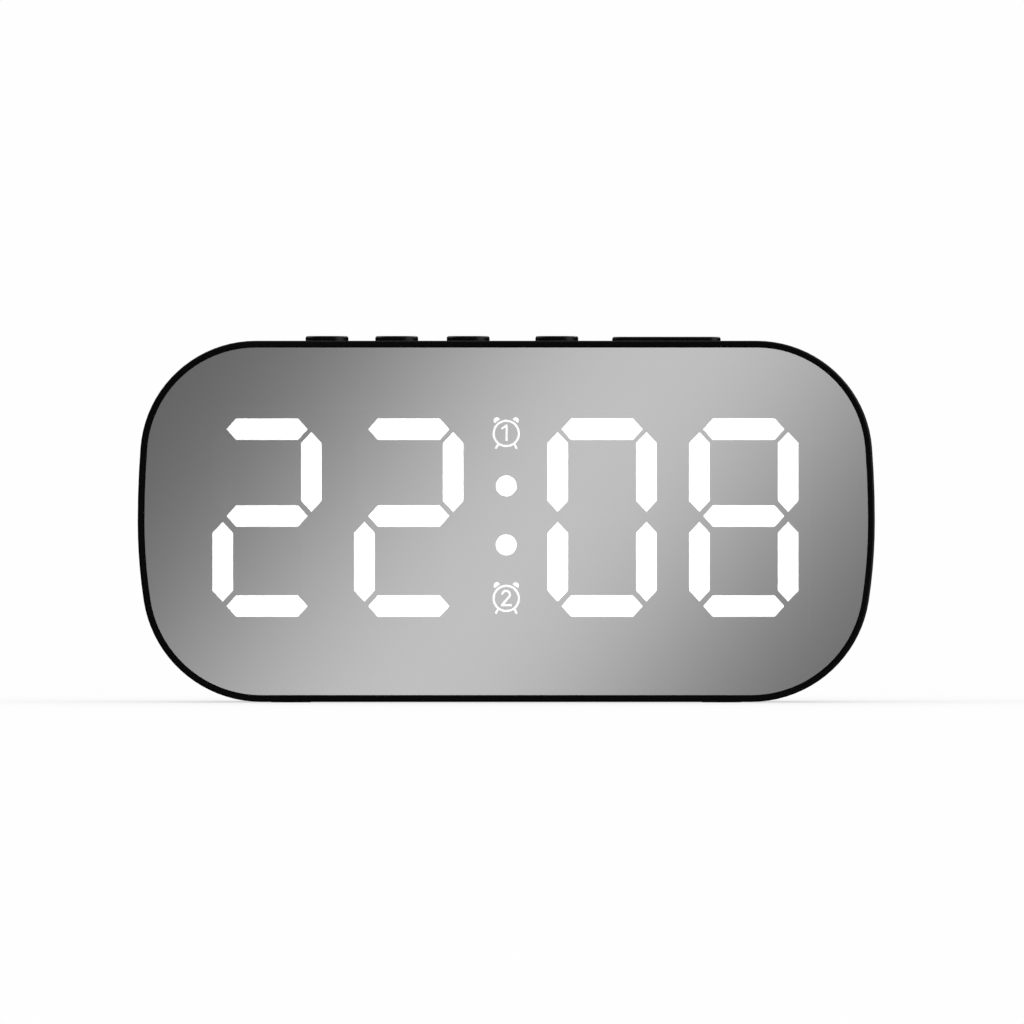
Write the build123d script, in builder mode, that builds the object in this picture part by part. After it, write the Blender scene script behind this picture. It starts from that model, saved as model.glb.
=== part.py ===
from build123d import *
import os
from math import asin, cos, degrees, radians

# A table clock with a mirror front. White LED bars shine through the mirror, five keys sit on
# top, and three cells lie behind a hinged door at the back.
#
# Millimetres. X runs to the right of someone facing the clock, Y runs away from them, Z is up.
# The origin is on the table, under the middle of the clock.

os.makedirs("parts", exist_ok=True)

# ---------------------------------------------------------------- overall size
width = 130.0
depth = 35.0
body_height = 63.7
foot_stand = 0.1  # how far the feet hold the body off the table
key_stand = 0.96  # how far the keys stand out of the body's top
bar_stand = 0.82

# ---------------------------------------------------------------- front outline
top_corner = 20.4  # each corner runs into a side that bows very slightly
top_side = 172.0
bottom_corner = 21.0
bottom_side = 93.0

# ---------------------------------------------------------------- shells
wall = 2.0
rim = 1.0  # black edge left round the mirror
rim_round = 0.4
bezel_thickness = 1.5  # wall behind the mirror, with the display's window in it
cover_depth = 6.0
back_round = 3.0
tongue_length = 1.5
tongue_play = 0.1

# ---------------------------------------------------------------- fits
press_play = 0.03  # a screw in the hole that it cuts its thread in
fit_play = 0.1  # pieces laid into one another
loose_play = 0.2  # pieces that pass through a wall
running_play = 0.05  # a round pin that turns in its hole
plunger_play = 0.08

# ---------------------------------------------------------------- mirror
mirror_set_back = 0.2
mirror_thickness = 2.0
mirror_bevel = 0.12
tape_thickness = 0.3
tape_edge = 0.6  # the tape stops this far inside the mirror's edge

# ---------------------------------------------------------------- display
digit_width = 19.3
digit_height = 35.0
digit_places = (-42.2, -17.2, 16.9, 41.9)
digits_up = 0.66  # middle of the digits above the middle of the body
bar_width = 3.8
bar_end = 0.66  # from the point of a bar that lies across to the line of the uprights
bar_tip = 1.7
upright_width = 3.65
upright_end = 0.75
upright_tip = 1.95
upright_spread = 0.12
middle_bar_up = 0.28  # the middle bar lies a little above the digit's middle
dots_up = 1.05
signs_up = 0.96
dot_radius = 1.85
dot_spacing = 10.4
sign_spacing = 29.1
sign_radius = 2.42
sign_stroke = 0.39
sign_window = 6.8
bell_radius = 0.58
bell_wall = 0.15
bell_gap = 0.25
bell_lean = 36.0
film_thickness = 0.2
window_thickness = 1.5
light_box_margin = 1.5
light_box_depth = 6.0
peg_radius = 1.2
peg_length = 2.4
peg_x = 29.55
peg_z = 12.0

# ---------------------------------------------------------------- display board
board_thickness = 1.6
board_height = 41.0
board_edge = 2.7
board_corner = 6.0
board_boss_out = 4.0  # bosses lie this far outside the light box
board_boss_z = 8.0
board_boss_radius = 2.5
led_length = 1.6
led_width = 0.8
led_height = 0.6
led_spacing = 6.0  # two to a bar
chip_length = 17.9
chip_width = 7.5
chip_height = 2.3
chip_lift = 0.2
chip_bevel = 0.3
chip_z = 6.0
pin_pitch = 1.27
pins_per_side = 14
pin_width = 0.45
pin_foot = 1.4
pin_plate = 0.25
can_round = 0.4
crystal_radius = 1.0
crystal_length = 6.0
crystal_x = 14.0
capacitor_radius = 2.5
capacitor_height = 7.0
capacitor_places = ((-34.0, -4.0), (34.0, 4.0))
transistor_length = 2.9
transistor_width = 1.3
transistor_height = 1.0
transistor_count = 8
transistor_pitch = 4.6
transistor_z = -5.5
resistor_length = 2.0
resistor_width = 1.25
resistor_height = 0.5
resistor_count = 14
resistor_pitch = 3.0
resistor_z = -10.5

# ---------------------------------------------------------------- screws
screw_radius = 1.0
screw_head_radius = 1.9
screw_head_height = 1.4
screw_head_round = 0.35
screw_recess = 0.7
recess_length = 2.3
recess_width = 0.35
screw_point = 0.6
board_screw_length = 5.0
cover_screw_length = 8.0
inlet_screw_length = 3.0
inlet_screw_scale = 0.8
cover_screw_in = 6.0  # from the side of the body to the screw
cover_screw_z = 15.0
column_radius = 3.4
column_length = 16.0
screw_well_floor = 2.0
screw_well_radius = 2.3

# ---------------------------------------------------------------- keys
key_width = 7.6
key_depth = 5.6
key_corner = 2.75
bar_key_width = 19.2
bar_key_corner = 2.0
keys = (
    ("set_key", -31.75, key_width, key_corner, key_stand),
    ("up_key", -19.4, key_width, key_corner, key_stand),
    ("down_key", -6.75, key_width, key_corner, key_stand),
    ("alarm_key", 8.95, key_width, key_corner, key_stand),
    ("snooze_bar", 28.35, bar_key_width, bar_key_corner, bar_stand),
)
key_round = 0.4
flange_width = 0.8
flange_thickness = 1.0
stem_radius = 1.6
stem_length = 1.5
key_travel = 0.5
switch_size = 6.0
switch_height = 3.5
switch_plate = 0.3
plunger_radius = 1.75
plunger_stand = 1.5
plunger_hidden = 1.4
key_board_depth = 11.0
key_board_thickness = 1.2
key_board_corner = 1.0
key_board_gap = 1.9  # from the display board to the key board
key_boss_radius = 2.2
key_boss_places = (-39.2, 1.1, 41.6)
ribbon_x = -19.5
ribbon_width = 8.0
ribbon_thickness = 0.8
ribbon_bend = 3.0
ribbon_drop = 8.0

# ---------------------------------------------------------------- cells and their bay
cell_diameter = 10.5
cell_length = 44.5
cell_round = 0.5
cell_nub_radius = 1.9
cell_nub_height = 1.0
cell_pitch = 11.0
cell_count = 3
contact_thickness = 0.4
contact_width = 8.0
spring_room = 4.0
spring_wire = 0.3
spring_radius = 3.2
spring_cone = -12.0
spring_turns = 4
bay_wall = 2.2
bay_margin = 0.5
bay_floor = 1.5
bay_room = 0.4  # from the cells to the door and the bay's floor together
cell_rib_height = 2.0
cell_rib_width = 1.0
cell_rib_length = 4.0
tab_width = 3.0
tab_reach = 1.2

# ---------------------------------------------------------------- battery door
door_ledge = 1.2
knuckle_radius = 1.3
pin_radius = 0.7
pin_length = 1.6
socket_wall = 1.7
socket_depth = 2.6
latch_width = 10.0
latch_thickness = 1.0
latch_length = 2.2
latch_play = 0.4
notch_radius = 6.0
notch_depth = 1.0
grip_width = 12.0
grip_height = 0.8
grip_depth = 0.3
grip_pitch = 1.8
grip_count = 3

# ---------------------------------------------------------------- power inlet, at the back
inlet_x = -42.0
inlet_z = -11.0
inlet_width = 7.5
inlet_height = 2.8
inlet_wall = 0.3
inlet_depth = 5.3
inlet_corner = 0.9
inlet_set_back = 0.6
inlet_pocket_width = 11.6
inlet_pocket_height = 7.6
inlet_pocket_depth = 0.5
inlet_pocket_corner = 1.5
inlet_tongue_width = 5.0
inlet_tongue_height = 0.7
inlet_tongue_base = 1.2
inlet_board_width = 13.0
inlet_board_depth = 8.0
inlet_board_thickness = 1.2
inlet_shelf_depth = 6.5
inlet_shelf_thickness = 2.0
inlet_screw_x = 4.2
inlet_screw_y = 2.2

# ---------------------------------------------------------------- buzzer
buzzer_x = 42.0
buzzer_z = 6.0
buzzer_radius = 6.0
buzzer_height = 5.5
buzzer_round = 0.5
buzzer_port_radius = 1.0
buzzer_port_depth = 1.5
buzzer_ring_wall = 1.2
buzzer_ring_height = 4.0
grille_hole = 0.7
grille_radius = 3.4
grille_holes = 6

# ---------------------------------------------------------------- feet and wires
foot_radius = 3.5
foot_recess = 0.6
foot_x = 38.0
foot_front_in = 6.5
foot_back_in = 11.5
lead_radius = 0.55
lead_bend = 4.0
lead_straight = 5.0
lead_step = 2.0
buzzer_lead_apart = 2.5
inlet_lead_apart = 2.6

# ---------------------------------------------------------------- where things lie
front_y = -depth / 2
back_y = depth / 2
mirror_front_y = front_y + mirror_set_back
mirror_back_y = mirror_front_y + mirror_thickness
bezel_front_y = mirror_back_y + tape_thickness
bezel_back_y = bezel_front_y + bezel_thickness
board_front_y = bezel_front_y + light_box_depth
board_back_y = board_front_y + board_thickness
parting_y = back_y - cover_depth
cover_inside_y = back_y - wall
key_y = board_back_y + key_board_gap + key_board_depth / 2

body_top = foot_stand + body_height
body_mid = foot_stand + body_height / 2
flange_top = body_top - wall - fit_play
flange_bottom = flange_top - flange_thickness
plunger_top = flange_bottom - stem_length
switch_top = plunger_top - plunger_stand
key_board_top = switch_top - switch_height
key_board_bottom = key_board_top - key_board_thickness

digits_span = digit_places[-1] - digit_places[0] + digit_width
light_box_width = digits_span + 2 * light_box_margin
light_box_height = digit_height + 2 * light_box_margin
board_boss_x = light_box_width / 2 + board_boss_out
board_width = 2 * (board_boss_x + board_edge)
board_boss_places = [
    (x, z) for x in (-board_boss_x, board_boss_x) for z in (-board_boss_z, board_boss_z)
]
peg_places = [(x, digits_up + z) for x in (-peg_x, peg_x) for z in (-peg_z, peg_z)]

cover_screw_x = width / 2 - cover_screw_in
cover_screw_places = [
    (x, z) for x in (-cover_screw_x, cover_screw_x) for z in (-cover_screw_z, cover_screw_z)
]
screw_seat_y = parting_y + screw_well_floor

bay_length = cell_length + spring_room + 2 * contact_thickness
bay_height = cell_count * cell_pitch + 2 * bay_margin
bay_floor_y = cover_inside_y - cell_diameter - bay_room
bay_front_y = bay_floor_y - bay_floor
cell_y = bay_floor_y + fit_play + cell_diameter / 2
cell_heights = [(row - (cell_count - 1) / 2) * cell_pitch for row in range(cell_count)]
spring_length = spring_room - 2 * spring_wire - 2 * fit_play

opening_width = bay_length + 2 * door_ledge
opening_bottom = -bay_height / 2
opening_top = bay_height / 2 + door_ledge
door_width = opening_width - 2 * loose_play
door_top = opening_top - loose_play
door_inside_y = cover_inside_y
hinge_y = back_y - knuckle_radius
hinge_z = opening_bottom + loose_play + knuckle_radius

mouth_y = back_y - inlet_set_back
inlet_board_top = inlet_z - inlet_height / 2
inlet_board_back_y = cover_inside_y - fit_play
inlet_shelf_top = inlet_board_top - inlet_board_thickness
buzzer_front_y = cover_inside_y - buzzer_height

foot_places = [(x, y) for x in (-foot_x, foot_x) for y in (front_y + foot_front_in, back_y - foot_back_in)]


# ---------------------------------------------------------------- shared shapes
def across(y):
    """The upright plane at depth y, seen from the front and centred on the body."""
    return Plane(origin=(0, y, body_mid), x_dir=(1, 0, 0), z_dir=(0, -1, 0))


def outline(inset=0.0):
    """The clock seen from the front, moved in all round by inset."""
    half_width = width / 2 - inset
    half_height = body_height / 2 - inset
    with BuildSketch() as shape:
        with BuildLine():
            for up, corner, side in ((1, top_corner, top_side), (-1, bottom_corner, bottom_side)):
                corner = corner - inset
                side = side - inset
                lean = degrees(asin((half_height - corner) / (side - corner)))
                reach = half_width - side + (side - corner) * cos(radians(lean))
                CenterArc((half_width - side, 0), side, 0, up * lean)
                CenterArc((reach, up * (half_height - corner)), corner, up * lean, up * (90 - lean))
                Line((reach, up * half_height), (0, up * half_height))
            mirror(about=Plane.YZ)
        make_face()
    return shape.sketch


def bar(length, thickness, tip):
    """One bar of a digit, lying along X, pointed at both ends."""
    end = length / 2
    side = thickness / 2
    with BuildSketch() as shape:
        Polygon(
            (-end, 0),
            (-end + tip, side),
            (end - tip, side),
            (end, 0),
            (end - tip, -side),
            (-end + tip, -side),
            align=None,
        )
    return shape.sketch


bar_x = (digit_width - upright_width) / 2
bar_z = (digit_height - bar_width) / 2
bar_places = [(0, z) for z in (-bar_z, middle_bar_up, bar_z)]
upright_places = [
    (x, middle_bar_up / 2 + side * (bar_z / 2 + upright_spread)) for x in (-bar_x, bar_x) for side in (-1, 1)
]


def digit(x):
    """All seven bars of the digit whose middle is at x."""
    with BuildSketch() as shape:
        with Locations(*[(x + dx, digits_up + dz) for dx, dz in bar_places]):
            add(bar(2 * bar_x - 2 * bar_end, bar_width, bar_tip))
        with Locations(*[Location((x + dx, digits_up + dz, 0), (0, 0, 90)) for dx, dz in upright_places]):
            add(bar(bar_z - 2 * upright_end, upright_width, upright_tip))
    return shape.sketch


def dots():
    """The two round dots between the hours and the minutes."""
    with BuildSketch() as shape:
        with Locations((0, dots_up - dot_spacing / 2), (0, dots_up + dot_spacing / 2)):
            Circle(dot_radius)
    return shape.sketch


def stroke(start, end):
    """Adds a straight line of a sign, round at both ends."""
    middle = ((start[0] + end[0]) / 2, (start[1] + end[1]) / 2)
    SlotCenterPoint(middle, end, sign_stroke)


def bell():
    """One of a sign's two bells, upright above the middle of the sign."""
    base = sign_radius + bell_gap
    with BuildSketch() as shape:
        with Locations((0, base + bell_wall)):
            Circle(bell_radius)
        with Locations((0, base + bell_wall / 2)):
            Rectangle(2 * bell_radius, bell_wall)
        with Locations((0, base - bell_radius)):
            Rectangle(2 * bell_radius, 2 * bell_radius, mode=Mode.SUBTRACT)
    return shape.sketch


def sign(number):
    """A small twin-bell clock with the numeral 1 or 2 in it."""
    with BuildSketch() as shape:
        Circle(sign_radius)
        Circle(sign_radius - sign_stroke, mode=Mode.SUBTRACT)
        for side in (-1, 1):
            add(bell(), rotation=side * bell_lean)
            stroke((side * 1.36, -1.78), (side * 1.8, -2.56))
        if number == 1:
            stroke((0.06, 1.4), (0.06, -1.18))
            stroke((-0.72, 0.88), (0.06, 1.4))
        else:
            with BuildLine(mode=Mode.PRIVATE) as hook:
                CenterArc((-0.03, 0.68), 0.66, -41, 207)
            SlotArc(hook.edge(), sign_stroke)
            stroke((0.468, 0.247), (-0.78, -1.19))
            stroke((-0.78, -1.19), (0.82, -1.19))
    return shape.sketch


sign_heights = {1: signs_up + sign_spacing / 2, 2: signs_up - sign_spacing / 2}


def screw(length, scale=1.0):
    """A pan-head screw along Z, its seat at Z 0 and its shank below."""
    with BuildPart() as shape:
        Cylinder(screw_radius * scale, length, align=(Align.CENTER, Align.CENTER, Align.MAX))
        Cylinder(
            screw_head_radius * scale,
            screw_head_height * scale,
            align=(Align.CENTER, Align.CENTER, Align.MIN),
        )
        fillet(shape.faces().sort_by(Axis.Z)[-1].edges(), screw_head_round * scale)
        with BuildSketch(Plane.XY.offset(screw_head_height * scale)):
            Rectangle(recess_length * scale, recess_width * scale)
            Rectangle(recess_width * scale, recess_length * scale)
        extrude(amount=-screw_recess * scale, mode=Mode.SUBTRACT)
        chamfer(shape.faces().sort_by(Axis.Z)[0].edges(), screw_point * scale)
    return shape.part


def lead(*points, bend=lead_bend):
    """A round insulated wire through the points, its corners rounded."""
    with BuildPart() as shape:
        with BuildLine() as path:
            if len(points) > 2:
                FilletPolyline(*points, radius=bend)
            else:
                Line(*points)
        with BuildSketch(Plane(origin=path.line @ 0, z_dir=path.line % 0)):
            Circle(lead_radius)
        sweep(path=path.line)
    return shape.part


# ================================================================ front housing
# Sides, top and bottom in one moulding with the wall behind the mirror. The top has the key
# slots, the inside has the bosses and columns that the boards and the rear cover screw to.
with BuildPart() as front_housing:
    with BuildSketch(across(parting_y)):
        add(outline())
    extrude(amount=parting_y - front_y)
    fillet(front_housing.faces().sort_by(Axis.Y)[0].edges(), rim_round)
    with BuildSketch(across(parting_y)):
        add(outline(wall))
    extrude(amount=parting_y - bezel_back_y, mode=Mode.SUBTRACT)
    with BuildSketch(across(bezel_front_y)):
        add(outline(rim))
    extrude(amount=bezel_front_y - front_y, mode=Mode.SUBTRACT)
    with BuildSketch(across(bezel_back_y)):
        with Locations((0, digits_up)):
            Rectangle(light_box_width + 2 * loose_play, light_box_height + 2 * loose_play)
    extrude(amount=bezel_thickness, mode=Mode.SUBTRACT)

    # bosses for the display board
    with BuildSketch(across(board_front_y)):
        with Locations(*board_boss_places):
            Circle(board_boss_radius)
    extrude(amount=board_front_y - bezel_back_y)
    with BuildSketch(across(board_front_y)):
        with Locations(*board_boss_places):
            Circle(screw_radius + press_play)
    extrude(amount=board_front_y - bezel_back_y, mode=Mode.SUBTRACT)

    # columns that take the rear cover's screws
    with BuildSketch(across(parting_y)):
        with Locations(*cover_screw_places):
            Circle(column_radius)
        add(outline(wall / 2), mode=Mode.INTERSECT)
    extrude(amount=column_length)
    with BuildSketch(across(parting_y)):
        with Locations(*cover_screw_places):
            Circle(screw_radius + press_play)
    extrude(amount=cover_screw_length, mode=Mode.SUBTRACT)

    # bosses that hang from the top and hold the key board
    with BuildSketch(Plane.XY.offset(key_board_top)):
        with Locations(*[(x, key_y) for x in key_boss_places]):
            Circle(key_boss_radius)
    extrude(amount=body_top - wall - key_board_top)
    with BuildSketch(Plane.XY.offset(key_board_top)):
        with Locations(*[(x, key_y) for x in key_boss_places]):
            Circle(screw_radius + press_play)
    extrude(amount=board_screw_length, mode=Mode.SUBTRACT)

    # slots for the keys
    with BuildSketch(Plane.XY.offset(body_top)):
        for _, x, across_key, corner, _ in keys:
            with Locations((x, key_y)):
                RectangleRounded(
                    across_key + 2 * loose_play, key_depth + 2 * loose_play, corner + loose_play
                )
    extrude(amount=-wall, mode=Mode.SUBTRACT)

    # seats for the feet
    with BuildSketch(Plane.XY.offset(foot_stand)):
        with Locations(*foot_places):
            Circle(foot_radius + fit_play)
    extrude(amount=foot_recess, mode=Mode.SUBTRACT)

    # rebate for the rear cover's tongue
    with BuildSketch(across(parting_y)):
        add(outline(wall / 2))
        add(outline(wall + tongue_play), mode=Mode.SUBTRACT)
    extrude(amount=tongue_length + tongue_play, mode=Mode.SUBTRACT)
front_housing.part.label = "front_housing"
export_step(front_housing.part, "parts/front_housing.step")

# ================================================================ mirror
# Half-silvered acrylic, laid into the front of the housing and held by a frame of tape.
with BuildPart() as mirror_panel:
    with BuildSketch(across(mirror_back_y)):
        add(outline(rim + fit_play))
    extrude(amount=mirror_thickness)
    chamfer(mirror_panel.faces().sort_by(Axis.Y)[0].edges(), mirror_bevel)
mirror_panel.part.label = "mirror_panel"
export_step(mirror_panel.part, "parts/mirror_panel.step")

with BuildPart() as mirror_tape:
    with BuildSketch(across(bezel_front_y)):
        add(outline(rim + fit_play + tape_edge))
        with Locations((0, digits_up)):
            Rectangle(
                light_box_width + 2 * loose_play + 2 * tape_edge,
                light_box_height + 2 * loose_play + 2 * tape_edge,
                mode=Mode.SUBTRACT,
            )
    extrude(amount=tape_thickness)
mirror_tape.part.label = "mirror_tape"
export_step(mirror_tape.part, "parts/mirror_tape.step")

# ================================================================ display
# Black film with the bars, dots and signs cut out of it, on a white light box. Each bar is a
# cast window that fills its well at the front and comes flush with the film.
with BuildPart() as segment_film:
    with BuildSketch(across(bezel_front_y)):
        with Locations((0, digits_up)):
            Rectangle(light_box_width, light_box_height)
        for x in digit_places:
            add(digit(x), mode=Mode.SUBTRACT)
        add(dots(), mode=Mode.SUBTRACT)
        for number, height in sign_heights.items():
            with Locations((0, height)):
                add(sign(number), mode=Mode.SUBTRACT)
    extrude(amount=film_thickness)
segment_film.part.label = "segment_film"
export_step(segment_film.part, "parts/segment_film.step")

with BuildPart() as light_box:
    with BuildSketch(across(board_front_y)):
        with Locations((0, digits_up)):
            Rectangle(light_box_width, light_box_height)
        for x in digit_places:
            add(digit(x), mode=Mode.SUBTRACT)
        add(dots(), mode=Mode.SUBTRACT)
        with Locations(*[(0, height) for height in sign_heights.values()]):
            Rectangle(sign_window, sign_window, mode=Mode.SUBTRACT)
    extrude(amount=light_box_depth)
    with BuildSketch(across(board_front_y + peg_length)):
        with Locations(*peg_places):
            Circle(peg_radius)
    extrude(amount=peg_length)
light_box.part.label = "light_box"
export_step(light_box.part, "parts/light_box.step")

for place, x in enumerate(digit_places, start=1):
    with BuildPart() as digit_segments:
        with BuildSketch(across(bezel_front_y + window_thickness)):
            add(digit(x))
        extrude(amount=window_thickness + film_thickness)
    digit_segments.part.label = f"digit_{place}_segments"
    export_step(digit_segments.part, f"parts/digit_{place}_segments.step")

with BuildPart() as colon_windows:
    with BuildSketch(across(bezel_front_y + window_thickness)):
        add(dots())
    extrude(amount=window_thickness + film_thickness)
colon_windows.part.label = "colon_windows"
export_step(colon_windows.part, "parts/colon_windows.step")

for number, height in sign_heights.items():
    with BuildPart() as alarm_sign:
        with BuildSketch(across(bezel_front_y + window_thickness)):
            with Locations((0, height)):
                Rectangle(sign_window, sign_window)
        extrude(amount=window_thickness)
        with BuildSketch(across(bezel_front_y)):
            with Locations((0, height)):
                add(sign(number))
        extrude(amount=film_thickness)
    alarm_sign.part.label = f"alarm_{number}_sign"
    export_step(alarm_sign.part, f"parts/alarm_{number}_sign.step")

# ================================================================ display board
# Carries the LEDs in front and the clock's own circuit behind. The light box pegs go through it.
with BuildPart() as display_board:
    with BuildSketch(across(board_back_y)):
        RectangleRounded(board_width, board_height, board_corner)
        add(outline(wall + loose_play), mode=Mode.INTERSECT)
        with Locations(*board_boss_places):
            Circle(screw_radius + loose_play, mode=Mode.SUBTRACT)
        with Locations(*peg_places):
            Circle(peg_radius + fit_play, mode=Mode.SUBTRACT)
    extrude(amount=board_thickness)
display_board.part.label = "display_board"
export_step(display_board.part, "parts/display_board.step")

with BuildPart() as led_chips:
    with BuildSketch(across(board_front_y)):
        for x in digit_places:
            for off in (-led_spacing / 2, led_spacing / 2):
                with Locations(*[(x + dx + off, digits_up + dz) for dx, dz in bar_places]):
                    Rectangle(led_length, led_width)
                with Locations(*[(x + dx, digits_up + dz + off) for dx, dz in upright_places]):
                    Rectangle(led_width, led_length)
        with Locations((0, dots_up - dot_spacing / 2), (0, dots_up + dot_spacing / 2)):
            Rectangle(led_length, led_width)
        with Locations(*[(0, height) for height in sign_heights.values()]):
            Rectangle(led_length, led_width)
    extrude(amount=led_height)
led_chips.part.label = "led_chips"
export_step(led_chips.part, "parts/led_chips.step")

with BuildPart() as controller_chip:
    with BuildSketch(across(board_back_y + chip_lift + chip_height)):
        with Locations((0, chip_z)):
            Rectangle(chip_length, chip_width)
    extrude(amount=chip_height)
    chamfer(controller_chip.faces().sort_by(Axis.Y)[-1].edges(), chip_bevel)
controller_chip.part.label = "controller_chip"
export_step(controller_chip.part, "parts/controller_chip.step")

with BuildPart() as chip_leads:
    for side in (-1, 1):
        with BuildSketch(across(board_back_y + chip_lift + pin_plate)):
            with Locations((0, chip_z + side * (chip_width / 2 + pin_foot / 2))):
                with GridLocations(pin_pitch, 1, pins_per_side, 1):
                    Rectangle(pin_width, pin_foot)
        extrude(amount=chip_lift + pin_plate)
        with BuildSketch(across(board_back_y + chip_lift + chip_height / 2)):
            with Locations((0, chip_z + side * (chip_width / 2 + pin_plate))):
                with GridLocations(pin_pitch, 1, pins_per_side, 1):
                    Rectangle(pin_width, 2 * pin_plate)
        extrude(amount=chip_height / 2)
chip_leads.part.label = "chip_leads"
export_step(chip_leads.part, "parts/chip_leads.step")

with BuildPart() as clock_crystal:
    with BuildSketch(Plane.YZ.offset(crystal_x)):
        with Locations((board_back_y + crystal_radius, body_mid + chip_z)):
            Circle(crystal_radius)
    extrude(amount=crystal_length)
    fillet(clock_crystal.faces().sort_by(Axis.X)[-1].edges(), can_round)
clock_crystal.part.label = "clock_crystal"
export_step(clock_crystal.part, "parts/clock_crystal.step")

with BuildPart() as filter_capacitors:
    with BuildSketch(across(board_back_y + capacitor_height)):
        with Locations(*capacitor_places):
            Circle(capacitor_radius)
    extrude(amount=capacitor_height)
    fillet(filter_capacitors.faces().group_by(Axis.Y)[-1].edges(), can_round)
filter_capacitors.part.label = "filter_capacitors"
export_step(filter_capacitors.part, "parts/filter_capacitors.step")

with BuildPart() as driver_transistors:
    with BuildSketch(across(board_back_y + transistor_height)):
        with Locations((0, transistor_z)):
            with GridLocations(transistor_pitch, 1, transistor_count, 1):
                Rectangle(transistor_length, transistor_width)
    extrude(amount=transistor_height)
driver_transistors.part.label = "driver_transistors"
export_step(driver_transistors.part, "parts/driver_transistors.step")

with BuildPart() as resistors:
    with BuildSketch(across(board_back_y + resistor_height)):
        with Locations((0, resistor_z)):
            with GridLocations(resistor_pitch, 1, resistor_count, 1):
                Rectangle(resistor_width, resistor_length)
    extrude(amount=resistor_height)
resistors.part.label = "resistors"
export_step(resistors.part, "parts/resistors.step")

with BuildPart() as display_screws:
    with Locations(
        *[Plane(origin=(x, board_back_y, body_mid + z), z_dir=(0, 1, 0)) for x, z in board_boss_places]
    ):
        add(screw(board_screw_length))
display_screws.part.label = "display_screws"
export_step(display_screws.part, "parts/display_screws.step")

# ================================================================ key board
# Hangs under the top of the housing, with one push switch below each key.
key_board_left = key_boss_places[0] - key_boss_radius
key_board_right = key_boss_places[-1] + key_boss_radius
with BuildPart() as key_board:
    with BuildSketch(Plane.XY.offset(key_board_bottom)):
        with Locations(((key_board_left + key_board_right) / 2, key_y)):
            RectangleRounded(key_board_right - key_board_left, key_board_depth, key_board_corner)
        with Locations(*[(x, key_y) for x in key_boss_places]):
            Circle(screw_radius + loose_play, mode=Mode.SUBTRACT)
    extrude(amount=key_board_thickness)
key_board.part.label = "key_board"
export_step(key_board.part, "parts/key_board.step")

with BuildPart() as key_board_screws:
    with Locations(
        *[Plane(origin=(x, key_y, key_board_bottom), z_dir=(0, 0, -1)) for x in key_boss_places]
    ):
        add(screw(board_screw_length))
key_board_screws.part.label = "key_board_screws"
export_step(key_board_screws.part, "parts/key_board_screws.step")

with BuildPart() as switch_bodies:
    with BuildSketch(Plane.XY.offset(key_board_top)):
        with Locations(*[(x, key_y) for _, x, _, _, _ in keys]):
            Rectangle(switch_size, switch_size)
    extrude(amount=switch_height - switch_plate)
    with BuildSketch(Plane.XY.offset(switch_top - switch_plate)):
        with Locations(*[(x, key_y) for _, x, _, _, _ in keys]):
            Circle(plunger_radius + plunger_play)
    extrude(amount=switch_plate - plunger_hidden - key_travel - fit_play, mode=Mode.SUBTRACT)
switch_bodies.part.label = "switch_bodies"
export_step(switch_bodies.part, "parts/switch_bodies.step")

with BuildPart() as switch_plates:
    with BuildSketch(Plane.XY.offset(switch_top - switch_plate)):
        with Locations(*[(x, key_y) for _, x, _, _, _ in keys]):
            Rectangle(switch_size, switch_size)
            Circle(plunger_radius + plunger_play, mode=Mode.SUBTRACT)
    extrude(amount=switch_plate)
switch_plates.part.label = "switch_plates"
export_step(switch_plates.part, "parts/switch_plates.step")

with BuildPart() as key_ribbon:
    with BuildLine() as ribbon_path:
        FilletPolyline(
            (ribbon_x, key_y - key_board_depth / 4, key_board_bottom),
            (ribbon_x, key_y - key_board_depth / 4, key_board_bottom - ribbon_drop),
            (ribbon_x, board_back_y, key_board_bottom - ribbon_drop),
            radius=ribbon_bend,
        )
    with BuildSketch(Plane(origin=ribbon_path.line @ 0, x_dir=(1, 0, 0), z_dir=ribbon_path.line % 0)):
        Rectangle(ribbon_width, ribbon_thickness)
    sweep(path=ribbon_path.line)
key_ribbon.part.label = "key_ribbon"
export_step(key_ribbon.part, "parts/key_ribbon.step")

# ================================================================ keys
# Each key comes up through its slot, is kept in by a flange and rests on its switch's plunger.
for number, (name, x, across_key, corner, stand) in enumerate(keys, start=1):
    with BuildPart() as key:
        with BuildSketch(Plane.XY.offset(flange_top)):
            with Locations((x, key_y)):
                RectangleRounded(across_key, key_depth, corner)
        extrude(amount=body_top + stand - flange_top)
        fillet(key.faces().sort_by(Axis.Z)[-1].edges(), key_round)
        with BuildSketch(Plane.XY.offset(flange_bottom)):
            with Locations((x, key_y)):
                RectangleRounded(
                    across_key + 2 * flange_width, key_depth + 2 * flange_width, corner + flange_width
                )
        extrude(amount=flange_thickness)
        with BuildSketch(Plane.XY.offset(plunger_top)):
            with Locations((x, key_y)):
                Circle(stem_radius)
        extrude(amount=stem_length)
    key.part.label = name
    export_step(key.part, f"parts/{name}.step")

    with BuildPart() as plunger:
        with BuildSketch(Plane.XY.offset(switch_top - plunger_hidden)):
            with Locations((x, key_y)):
                Circle(plunger_radius)
        extrude(amount=plunger_stand + plunger_hidden)
    plunger.part.label = f"switch_{number}_plunger"
    export_step(plunger.part, f"parts/switch_{number}_plunger.step")

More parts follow.
